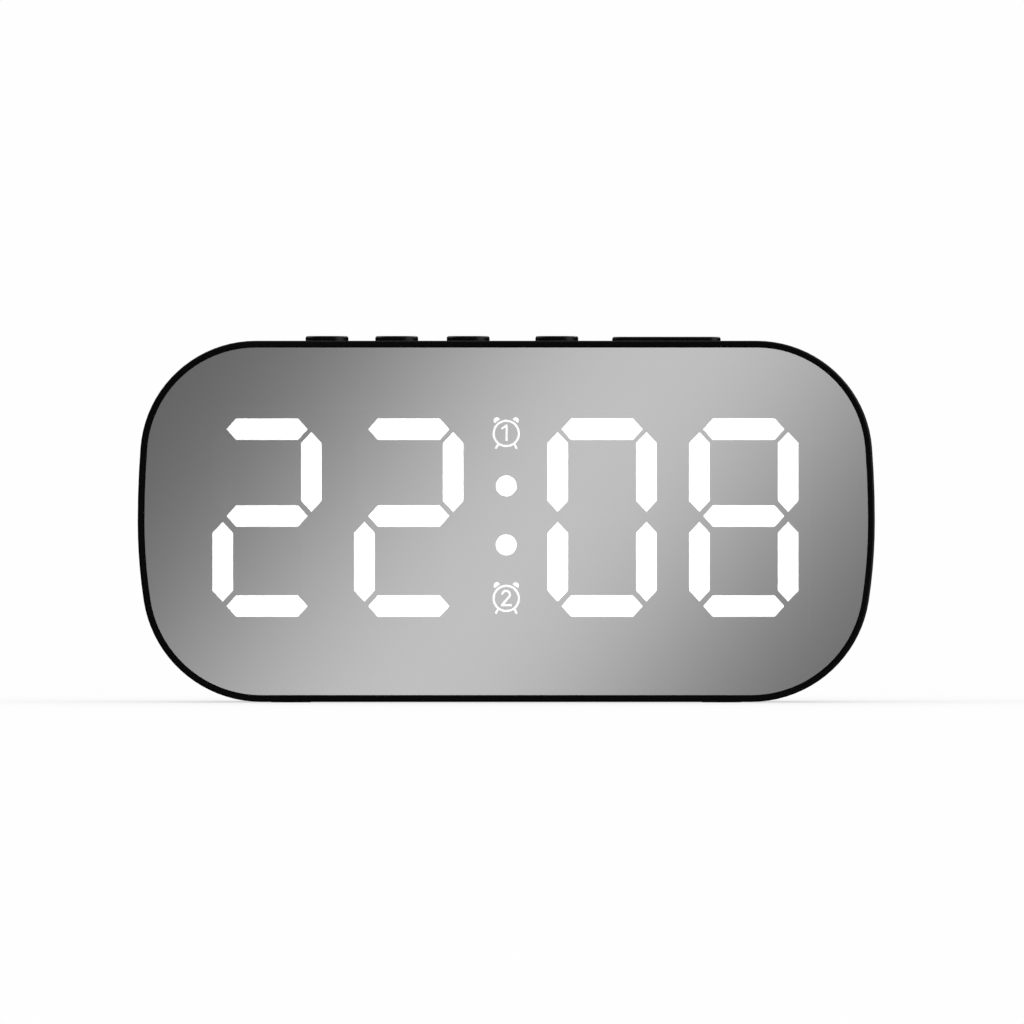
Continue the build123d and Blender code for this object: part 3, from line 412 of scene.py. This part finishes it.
epoxy = Finish("black_epoxy", Roughness=0.6)
speck = epoxy.noise(3000.0)
epoxy.feed("Base Color", epoxy.mix(speck, (0.012, 0.012, 0.013), (0.025, 0.025, 0.026)))
epoxy.bump(speck, 0.15, 0.00002)
epoxy.put_on("controller_chip", "driver_transistors")

tin = Finish("tinned_metal", Metallic=1.0)
smear = tin.noise(700.0)
tin.feed("Base Color", tin.mix(smear, (0.55, 0.55, 0.54), (0.72, 0.71, 0.69)))
tin.feed("Roughness", 0.22 + 0.2 * smear)
tin.put_on("chip_leads", "switch_plates")

can = Finish("drawn_aluminium", Metallic=1.0)
drawn = can.noise(500.0)
can.feed("Base Color", can.mix(drawn, (0.6, 0.6, 0.62), (0.75, 0.75, 0.77)))
can.feed("Roughness", 0.25 + 0.15 * drawn)
can.put_on("filter_capacitors", "clock_crystal")

low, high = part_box("resistors")
chip_end = 0.0006
film_resistor = Finish("chip_resistor", Roughness=0.4)
end = abs(film_resistor.z - (low.z + high.z) / 2) > (high.z - low.z) / 2 - chip_end
film_resistor.feed("Base Color", film_resistor.mix(end, (0.01, 0.01, 0.011), (0.7, 0.69, 0.67)))
film_resistor.feed("Metallic", end)
film_resistor.put_on("resistors")

zinc = Finish("blackened_screw", Metallic=1.0)
turned = zinc.noise(1200.0)
zinc.feed("Base Color", zinc.mix(turned, (0.16, 0.16, 0.165), (0.3, 0.3, 0.31)))
zinc.feed("Roughness", 0.3 + 0.2 * turned)
zinc.put_on("display_screws", "key_board_screws", "cover_screws", "inlet_screws")

# ================================================================ key board and its switches
# Five push switches with black nylon bodies, steel plates and white acetal plungers, soldered
# on a green board. A grey ribbon with one red edge goes down from it to the display board.
nylon = Finish("black_nylon", Roughness=0.55)
nylon.feed("Base Color", nylon.mix(nylon.noise(500.0), (0.01, 0.01, 0.01), (0.018, 0.018, 0.018)))
nylon.put_on("switch_bodies")

acetal = Finish("white_acetal", Roughness=0.4)
acetal.feed("Base Color", acetal.mix(acetal.noise(500.0), (0.7, 0.69, 0.66), (0.76, 0.75, 0.72)))
acetal.put_on(*(f"switch_{number}_plunger" for number in range(1, 6)))

low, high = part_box("key_ribbon")
core_pitch = 0.001
ribbon = Finish("grey_ribbon", Roughness=0.5)
from_edge = ribbon.x - low.x
core = ribbon.add("ShaderNodeMath", {"operation": "PINGPONG"}, {0: from_edge, 1: core_pitch / 2})
ribbon_grey = ribbon.mix(ribbon.noise(300.0), (0.3, 0.3, 0.31), (0.38, 0.38, 0.39))
ribbon.feed("Base Color", ribbon.mix(from_edge < core_pitch, ribbon_grey, (0.4, 0.02, 0.02)))
ribbon.bump(core, 1.0, 1.0)
ribbon.put_on("key_ribbon")

# ================================================================ keys
# Five caps moulded in black ABS, which rest on the plungers and stand a little out of the top.
# Their sides are smooth and coloured darker than their tops, which is painted shade. Their tops
# have the housing's satin grain, rubbed a touch glossier in the middle by fingers.
top_depth = 0.0001
rub_narrowing = 1.5  # the rubbed place is longer along the row of keys than across it
for name in ("set_key", "up_key", "down_key", "alarm_key", "snooze_bar"):
    low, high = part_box(name)
    middle = (low + high) / 2
    cap = Finish(name + "_cap", Specular_IOR_Level=0.07, Coat_Roughness=0.3)
    touch = cap.noise(350.0)
    on_top = cap.z > high.z - top_depth
    from_middle = abs(cap.x - middle.x) + abs(cap.y - middle.y) * rub_narrowing
    rubbed = 1 - cap.step(from_middle, 0.0, (high.x - low.x) / 2)
    # painted shade: the sides of each cap get a darker colour than its top
    side_black = cap.mix(touch, (0.0005, 0.0005, 0.0005), (0.001, 0.001, 0.001))
    top_black = cap.mix(touch, (0.004, 0.004, 0.0041), (0.0065, 0.0065, 0.0067))
    cap.feed("Base Color", cap.mix(on_top, side_black, top_black))
    cap.feed("Roughness", 0.3 + 0.1 * touch - 0.08 * rubbed)
    cap.feed("Coat Weight", on_top * (0.2 + 0.15 * rubbed))
    cap.put_on(name)

# ================================================================ contacts and leads
# Nickelled spring steel: flat plates for the plus ends, conical springs for the minus ends. The
# leads are soldered on, red for plus and black for minus.
nickel = Finish("nickelled_spring_steel", Metallic=1.0)
stain = nickel.noise(400.0)
nickel.feed("Base Color", nickel.mix(stain, (0.62, 0.6, 0.56), (0.78, 0.76, 0.72)))
nickel.feed("Roughness", 0.16 + 0.18 * stain)
nickel.put_on("battery_contacts", "battery_springs", "inlet_shell")

inlet_leads_x = -0.0425
buzzer_leads_x = 0.0425
for name, split_x in (
    ("battery_leads", 0.0),
    ("inlet_leads", inlet_leads_x),
    ("buzzer_leads", buzzer_leads_x),
):
    wire = Finish(name + "_insulation", Roughness=0.45)
    rub = wire.noise(600.0)
    black_side = wire.mix(rub, (0.006, 0.006, 0.006), (0.012, 0.012, 0.012))
    red_side = wire.mix(rub, (0.42, 0.012, 0.01), (0.5, 0.018, 0.014))
    wire.feed("Base Color", wire.mix(wire.x > split_x, black_side, red_side))
    wire.put_on(name)

# ================================================================ cells
# Three small dry cells, turned end for end. Each is a steel can in a printed sleeve, shrunk over
# both ends, with a pressed plus cap and a groove rolled round its foot.
cell_low, cell_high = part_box("battery_cell_1")
cell_middle = (cell_low + cell_high) / 2
cell_radius = (cell_high.z - cell_low.z) / 2
nub_rise = 0.001
nub_radius = 0.0019
sleeve_wall = 0.0006
sleeve_step = 0.0002
foot_groove = 0.0007
can_length = cell_high.x - cell_low.x - nub_rise
first_cell = primitive(
    "cylinder",
    "dry_cell_1",
    vertices=64,
    radius=cell_radius,
    depth=can_length,
    location=(cell_low.x + can_length / 2, cell_middle.y, cell_middle.z),
    rotation=(0, math.pi / 2, 0),
)
bpy.ops.object.transform_apply(location=True, rotation=True)
end_facing = 0.9  # of a face's normal, along the cell
to_nub = cell_radius - 2 * sleeve_wall - nub_radius
plus_end = ((sleeve_wall, -sleeve_step), (sleeve_wall, sleeve_step), (to_nub, nub_rise))
minus_end = (
    (sleeve_wall, -sleeve_step),
    (sleeve_wall, -sleeve_step),
    (foot_groove, 2 * sleeve_step),
)
for way, steps in ((1, plus_end), (-1, minus_end)):
    bpy.ops.object.mode_set(mode="EDIT")
    bpy.ops.mesh.select_mode(type="FACE")
    bpy.ops.mesh.select_all(action="DESELECT")
    bpy.ops.object.mode_set(mode="OBJECT")
    for face in first_cell.data.polygons:
        face.select = face.normal.x * way > end_facing
    bpy.ops.object.mode_set(mode="EDIT")
    for inward, outward in steps:
        bpy.ops.mesh.inset(thickness=inward)
        bpy.ops.mesh.extrude_region_move(TRANSFORM_OT_translate={"value": (way * outward, 0, 0)})
    bpy.ops.object.mode_set(mode="OBJECT")
rolled_edge = 0.00016
rolled_from = math.radians(50)
smooth_below = math.radians(35)
rounding = first_cell.modifiers.new("rounding", "BEVEL")
rounding.width = rolled_edge
rounding.segments = 3
rounding.limit_method = "ANGLE"
rounding.angle_limit = rolled_from
bpy.ops.object.modifier_apply(modifier="rounding")
bpy.ops.object.shade_smooth_by_angle(angle=smooth_below)

plus_band = 0.0085  # the sleeve is copper this far from the plus cap, and blue past it
sleeve_curl = 0.00003  # the sleeve laps this far over the bare end
for number in (1, 2, 3):
    name = f"battery_cell_{number}"
    low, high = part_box(name)
    plus = -1 if number == 2 else 1
    cell = first_cell
    if number > 1:
        cell = first_cell.copy()
        cell.data = first_cell.data.copy()
        cell.name = f"dry_cell_{number}"
        bpy.context.scene.collection.objects.link(cell)
        to_middle = Matrix.Translation(-cell_middle)
        turned_over = Matrix.Rotation(math.pi if plus < 0 else 0.0, 4, "Z")
        cell.data.transform(Matrix.Translation((low + high) / 2) @ turned_over @ to_middle)
    sleeve = Finish(name + "_sleeve", Roughness=0.28)
    middle = (low + high) / 2
    from_plus = (sleeve.x - (high.x if plus > 0 else low.x)) * -plus
    from_axis = ((sleeve.y - middle.y) ** 2 + (sleeve.z - middle.z) ** 2) ** 0.5
    scuff = sleeve.noise(300.0)
    streak = sleeve.noise(1400.0, 3.0)
    blue = sleeve.mix(scuff, (0.012, 0.03, 0.09), (0.018, 0.04, 0.11))
    copper = sleeve.mix(scuff, (0.58, 0.27, 0.07), (0.66, 0.33, 0.1))
    colour = sleeve.mix(from_plus < plus_band, blue, copper)
    bare = from_axis < cell_radius - sleeve_wall - sleeve_curl
    steel = sleeve.mix(streak, (0.6, 0.6, 0.58), (0.78, 0.78, 0.76))
    sleeve.feed("Base Color", sleeve.mix(bare, colour, steel))
    sleeve.feed("Metallic", bare)
    cell.data.materials.clear()
    cell.data.materials.append(sleeve.material)
    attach(cell, "clock_body")
    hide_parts(name)

# ================================================================ power inlet
# A nickelled shell round a black moulded tongue. Gilt contacts lie side by side on the outer
# two thirds of the tongue.
low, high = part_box("inlet_tongue")
finger_pitch = 0.0005
finger_gap = 0.28  # of the pitch, either side of a contact
tongue_root = (low.y * 2 + high.y) / 3
gilt = Finish("tongue_and_contacts", Roughness=0.35)
across_pitch = {0: gilt.x - low.x, 1: finger_pitch / 2}
finger = gilt.add("ShaderNodeMath", {"operation": "PINGPONG"}, across_pitch)
contact = (finger > finger_pitch * finger_gap) * (gilt.y > tongue_root)
gilt.feed("Base Color", gilt.mix(contact, (0.01, 0.01, 0.01), (0.8, 0.55, 0.2)))
gilt.feed("Metallic", contact)
gilt.put_on("inlet_tongue")

# ================================================================ buzzer
# A round case in black moulded plastic with the sounder inside. It is glued into its ring on
# the rear cover, behind the grille.
case = Finish("buzzer_case", Roughness=0.5)
case.feed("Base Color", case.mix(case.noise(500.0), (0.01, 0.01, 0.01), (0.02, 0.02, 0.02)))
case.put_on("buzzer")

# ================================================================ feet
# Four thin round pads of black rubber, punched from sheet. They are glued into shallow seats
# under the housing.
rubber = Finish("black_rubber", Roughness=0.85)
crumb = rubber.noise(1500.0)
rubber.feed("Base Color", rubber.mix(crumb, (0.006, 0.006, 0.006), (0.014, 0.014, 0.014)))
rubber.bump(crumb, 0.3, 0.00005)
rubber.put_on("feet")
